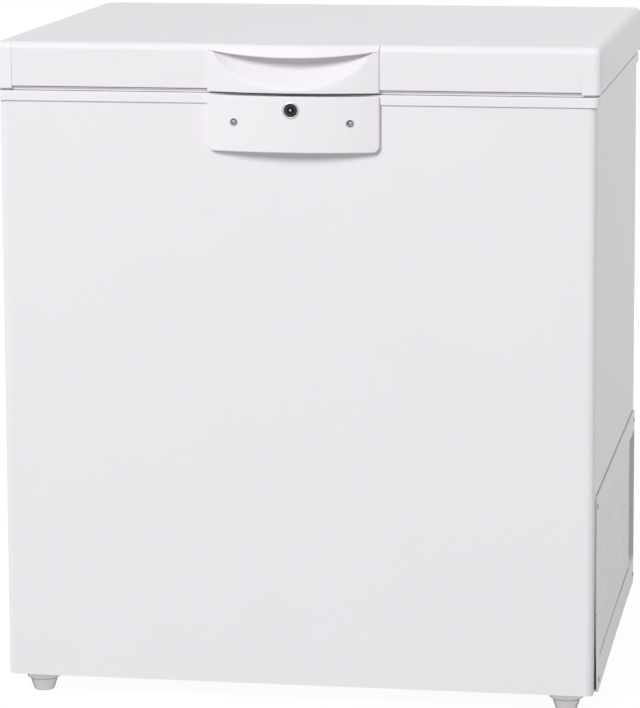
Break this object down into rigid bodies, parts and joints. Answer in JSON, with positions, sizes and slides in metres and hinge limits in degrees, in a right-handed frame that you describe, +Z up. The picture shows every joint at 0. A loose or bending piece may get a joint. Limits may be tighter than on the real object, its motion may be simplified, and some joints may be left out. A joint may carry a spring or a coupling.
{
  "type": "chest freezer",
  "caption": "White free-standing chest freezer with a hinged foam-filled lid, moulded handle, key lock, side vent, wire basket and compressor.",
  "frame": {"origin": "on the floor, at the centre of the footprint of the closed freezer, handle and hinges counted in", "axes": "+Z up, +X to the right of a person facing the freezer, +Y from the front (handle side) to the back (hinge side)"},
  "size_m": [0.79, 0.687, 0.874],
  "materials": {
    "white_sheet": "satin",
    "white_plastic": "gloss",
    "vent_plastic": "satin",
    "foot_plastic": "satin",
    "insulation": "matte",
    "liner": "satin",
    "gasket": "matte",
    "black_rubber": "matte",
    "chrome": "polished",
    "zinc": "satin",
    "black_metal": "gloss",
    "compressor_paint": "satin",
    "copper": "satin",
    "dark_plastic": "matte",
    "wire": "satin"
  },
  "bodies": {
    "cabinet": {"outer_cabinet": "white_sheet", "rear_panel": "zinc", "base_panel": "zinc", "cabinet_insulation": "insulation", "evaporator_tube": "copper", "condenser_tube": "copper", "inner_liner": "liner", "top_frame": "white_plastic", "drain_tube": "white_plastic", "foot_front_left": "foot_plastic", "foot_screw_front_left": "zinc", "foot_front_right": "foot_plastic", "foot_screw_front_right": "zinc", "foot_rear_left": "foot_plastic", "foot_screw_rear_left": "zinc", "foot_rear_right": "foot_plastic", "foot_screw_rear_right": "zinc", "side_vent_cover": "vent_plastic", "vent_screw_1": "zinc", "vent_screw_2": "zinc", "vent_screw_3": "zinc", "vent_screw_4": "zinc", "machine_room_tray": "zinc", "compressor_base_plate": "zinc", "compressor": "compressor_paint", "compressor_mount_1": "black_rubber", "compressor_mount_2": "black_rubber", "compressor_mount_3": "black_rubber", "compressor_mount_4": "black_rubber", "start_relay_cover": "dark_plastic", "filter_drier": "copper", "suction_tube": "copper", "discharge_tube": "copper", "rear_grille": "zinc", "mains_inlet": "dark_plastic", "thermostat": "dark_plastic", "lock_plate": "white_plastic", "lock_plate_screw_left": "zinc", "lock_plate_screw_right": "zinc", "lock_bezel": "chrome", "hinge_bracket_left": "zinc", "hinge_pin_left": "zinc", "hinge_spring_left": "zinc", "hinge_bracket_right": "zinc", "hinge_pin_right": "zinc", "hinge_spring_right": "zinc"},
    "lid": {"lid_outer_panel": "white_sheet", "lid_end_cap_left": "white_plastic", "lid_end_cap_right": "white_plastic", "lid_insulation": "insulation", "lid_inner_panel": "white_plastic", "lid_gasket": "gasket", "lid_handle": "white_plastic", "hinge_arm_left": "zinc", "hinge_arm_right": "zinc"},
    "lock": {"lock_cylinder": "black_metal", "lock_cam": "zinc"},
    "thermostat_knob": {"thermostat_knob": "white_plastic"},
    "basket": {"basket": "wire"},
    "drain_plug": {"drain_plug": "gasket"}
  },
  "joints": [
    {"name": "lid_hinge", "type": "hinge", "parent": "cabinet", "child": "lid", "pos_m": [0, 0.336, 0.808], "axis": [-1, 0, 0], "range_deg": [0, 80]},
    {"name": "lock_turn", "type": "hinge", "parent": "cabinet", "child": "lock", "pos_m": [0, -0.33, 0.791], "axis": [0, -1, 0], "range_deg": [0, 90]},
    {"name": "thermostat_turn", "type": "hinge", "parent": "cabinet", "child": "thermostat_knob", "pos_m": [0.329, 0.318, 0.232], "axis": [0, 1, 0], "range_deg": [0, 270]},
    {"name": "basket_slide", "type": "slide", "parent": "cabinet", "child": "basket", "axis": [1, 0, 0], "range_m": [0, 0.42]},
    {"name": "drain_plug_pull", "type": "slide", "parent": "cabinet", "child": "drain_plug", "axis": [0, 0, 1], "range_m": [0, 0.05]}
  ]
}
